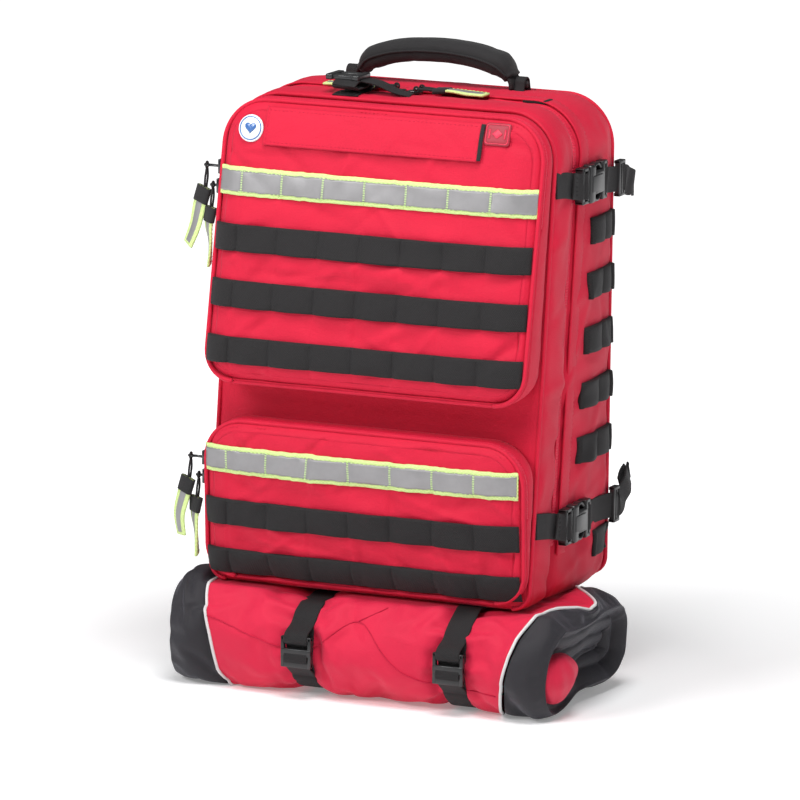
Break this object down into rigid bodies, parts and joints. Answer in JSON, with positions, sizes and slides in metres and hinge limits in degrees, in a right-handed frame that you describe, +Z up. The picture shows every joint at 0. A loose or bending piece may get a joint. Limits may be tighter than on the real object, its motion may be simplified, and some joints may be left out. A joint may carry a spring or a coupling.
{
  "type": "trauma backpack",
  "caption": "Rigid-backed medical backpack with zipped front pockets, webbing rows, buckled side straps, carry handle and a strapped blanket roll it stands on.",
  "frame": {"origin": "on the ground at the middle of the roll's flat underside line, below the bag's mid plane", "axes": "+X towards the viewer's right as the pockets are faced, -Y out of the pockets, +Z up the bag"},
  "size_m": [0.43, 0.2855, 0.607],
  "materials": {
    "red_fabric": "matt woven nylon",
    "red_zip": "woven tape with a moulded coil",
    "black_webbing": "ribbed webbing",
    "black_padding": "woven cover over foam",
    "slate_fabric": "matt woven nylon",
    "reflective_tape": "grey reflective tape with lime edges",
    "lime_pull": "folded woven tape",
    "black_plastic": "moulded, low sheen",
    "sheet_plastic": "plain sheet",
    "badge_white": "smooth moulded badge",
    "badge_red": "moulded rubber patch",
    "zip_metal": "black enamel"
  },
  "bodies": {
    "bag": {"back_shell": "red_fabric", "front_shell": "red_fabric", "main_zip_chain": "red_zip", "frame_sheet": "sheet_plastic", "back_pad": "black_padding", "inner_pouches": "slate_fabric", "upper_pocket_gusset": "red_fabric", "upper_pocket_front": "red_fabric", "upper_zip_chain": "red_zip", "upper_webbing_rows": "black_webbing", "lower_pocket_gusset": "red_fabric", "lower_pocket_front": "red_fabric", "lower_zip_chain": "red_zip", "lower_webbing_rows": "black_webbing", "side_webbing_rows": "black_webbing", "handle_anchors": "black_webbing", "side_strap_fronts": "black_webbing", "side_strap_rears": "black_webbing", "buckle_sockets": "black_plastic", "strap_adjusters": "black_plastic", "top_strap": "black_webbing", "roll_blanket": "red_fabric", "roll_ends": "slate_fabric", "roll_straps": "black_webbing", "shoulder_yoke": "black_padding", "lower_strap_anchors": "black_webbing"},
    "upper_flap": {"upper_pocket_flap": "red_fabric", "upper_reflective_strip": "reflective_tape", "round_badge": "badge_white", "square_patch": "badge_red"},
    "name_flap": {"name_flap": "red_fabric"},
    "lower_flap": {"lower_pocket_flap": "red_fabric", "lower_reflective_strip": "reflective_tape"},
    "handle": {"handle_strap": "black_webbing", "handle_sleeve": "black_padding"},
    "upper_slider_high": {"upper_slider_high": "zip_metal"},
    "upper_slider_low": {"upper_slider_low": "zip_metal"},
    "lower_slider_high": {"lower_slider_high": "zip_metal"},
    "lower_slider_low": {"lower_slider_low": "zip_metal"},
    "main_slider_left": {"main_slider_left": "zip_metal"},
    "main_slider_right": {"main_slider_right": "zip_metal"},
    "upper_pull_high": {"upper_pull_high": "lime_pull"},
    "upper_pull_low": {"upper_pull_low": "lime_pull"},
    "lower_pull_high": {"lower_pull_high": "lime_pull"},
    "lower_pull_low": {"lower_pull_low": "lime_pull"},
    "main_pull_left": {"main_pull_left": "lime_pull"},
    "main_pull_right": {"main_pull_right": "lime_pull"},
    "plug_upper_right": {"plug_upper_right": "black_plastic"},
    "plug_upper_left": {"plug_upper_left": "black_plastic"},
    "plug_lower_right": {"plug_lower_right": "black_plastic"},
    "plug_lower_left": {"plug_lower_left": "black_plastic"},
    "ladder_lock_left": {"ladder_lock_left": "black_plastic"},
    "ladder_lock_right": {"ladder_lock_right": "black_plastic"},
    "shoulder_strap_right": {"shoulder_strap_right": "black_padding"},
    "shoulder_strap_left": {"shoulder_strap_left": "black_padding"}
  },
  "joints": [
    {"name": "handle_swing", "type": "hinge", "parent": "bag", "child": "handle", "pos_m": [0, 0.105, 0.57], "axis": [1, 0, 0], "range_deg": [-28, 28], "stiffness_Nm_per_rad": 0.15},
    {"name": "upper_flap_fold", "type": "hinge", "parent": "bag", "child": "upper_flap", "pos_m": [0, -0.03582, 0.454], "axis": [1, 0, 0], "range_deg": [0, 100]},
    {"name": "name_flap_lift", "type": "hinge", "parent": "upper_flap", "child": "name_flap", "pos_m": [0, -0.01886, 0.55], "axis": [-1, 0, 0], "range_deg": [0, 110]},
    {"name": "lower_flap_fold", "type": "hinge", "parent": "bag", "child": "lower_flap", "pos_m": [0, -0.05875, 0.185], "axis": [1, 0, 0], "range_deg": [0, 100]},
    {"name": "upper_high_zip_slide", "type": "slide", "parent": "bag", "child": "upper_slider_high", "axis": [0, 0.1838, 0.983], "range_m": [0, 0.02]},
    {"name": "upper_high_pull_swing", "type": "hinge", "parent": "upper_slider_high", "child": "upper_pull_high", "pos_m": [-0.182, -0.01808, 0.49], "axis": [1, 0, 0], "range_deg": [-45, 35]},
    {"name": "upper_low_zip_slide", "type": "slide", "parent": "bag", "child": "upper_slider_low", "axis": [0, -0.1838, -0.983], "range_m": [0, 0.008]},
    {"name": "upper_low_pull_swing", "type": "hinge", "parent": "upper_slider_low", "child": "upper_pull_low", "pos_m": [-0.174, -0.02145, 0.472], "axis": [1, 0, 0], "range_deg": [-45, 35]},
    {"name": "lower_high_zip_slide", "type": "slide", "parent": "bag", "child": "lower_slider_high", "axis": [0, -0.0499, 0.9988], "range_m": [0, 0.01]},
    {"name": "lower_high_pull_swing", "type": "hinge", "parent": "lower_slider_high", "child": "lower_pull_high", "pos_m": [-0.182, -0.0493, 0.216], "axis": [1, 0, 0], "range_deg": [-45, 35]},
    {"name": "lower_low_zip_slide", "type": "slide", "parent": "bag", "child": "lower_slider_low", "axis": [0, 0.0499, -0.9988], "range_m": [0, 0.01]},
    {"name": "lower_low_pull_swing", "type": "hinge", "parent": "lower_slider_low", "child": "lower_pull_low", "pos_m": [-0.174, -0.0484, 0.198], "axis": [1, 0, 0], "range_deg": [-45, 35]},
    {"name": "main_left_zip_slide", "type": "slide", "parent": "bag", "child": "main_slider_left", "axis": [-1, 0, 0], "range_m": [0, 0.075]},
    {"name": "main_right_zip_slide", "type": "slide", "parent": "bag", "child": "main_slider_right", "axis": [1, 0, 0], "range_m": [0, 0.06]},
    {"name": "main_left_pull_lift", "type": "hinge", "parent": "main_slider_left", "child": "main_pull_left", "pos_m": [-0.024, 0.05621, 0.566], "axis": [0, 1, 0], "range_deg": [0, 110]},
    {"name": "main_right_pull_lift", "type": "hinge", "parent": "main_slider_right", "child": "main_pull_right", "pos_m": [0.004, 0.05621, 0.566], "axis": [0, -1, 0], "range_deg": [0, 110]},
    {"name": "upper_right_buckle_release", "type": "slide", "parent": "bag", "child": "plug_upper_right", "axis": [0, -1, 0], "range_m": [0, 0.018]},
    {"name": "upper_left_buckle_release", "type": "slide", "parent": "bag", "child": "plug_upper_left", "axis": [0, -1, 0], "range_m": [0, 0.018]},
    {"name": "lower_right_buckle_release", "type": "slide", "parent": "bag", "child": "plug_lower_right", "axis": [0, -1, 0], "range_m": [0, 0.018]},
    {"name": "lower_left_buckle_release", "type": "slide", "parent": "bag", "child": "plug_lower_left", "axis": [0, -1, 0], "range_m": [0, 0.018]},
    {"name": "left_lock_tilt", "type": "hinge", "parent": "bag", "child": "ladder_lock_left", "pos_m": [-0.051, -0.09, 0.0605], "axis": [-1, 0, 0], "range_deg": [0, 50]},
    {"name": "right_lock_tilt", "type": "hinge", "parent": "bag", "child": "ladder_lock_right", "pos_m": [0.105, -0.09, 0.0605], "axis": [-1, 0, 0], "range_deg": [0, 50]},
    {"name": "shoulder_right_swing", "type": "hinge", "parent": "bag", "child": "shoulder_strap_right", "pos_m": [0.058, 0.164, 0.525], "axis": [-0.1478, 0, 0.989], "range_deg": [-18, 18], "stiffness_Nm_per_rad": 0.05},
    {"name": "shoulder_left_swing", "type": "hinge", "parent": "bag", "child": "shoulder_strap_left", "pos_m": [-0.058, 0.164, 0.525], "axis": [0.1478, 0, 0.989], "range_deg": [-18, 18], "stiffness_Nm_per_rad": 0.05}
  ]
}
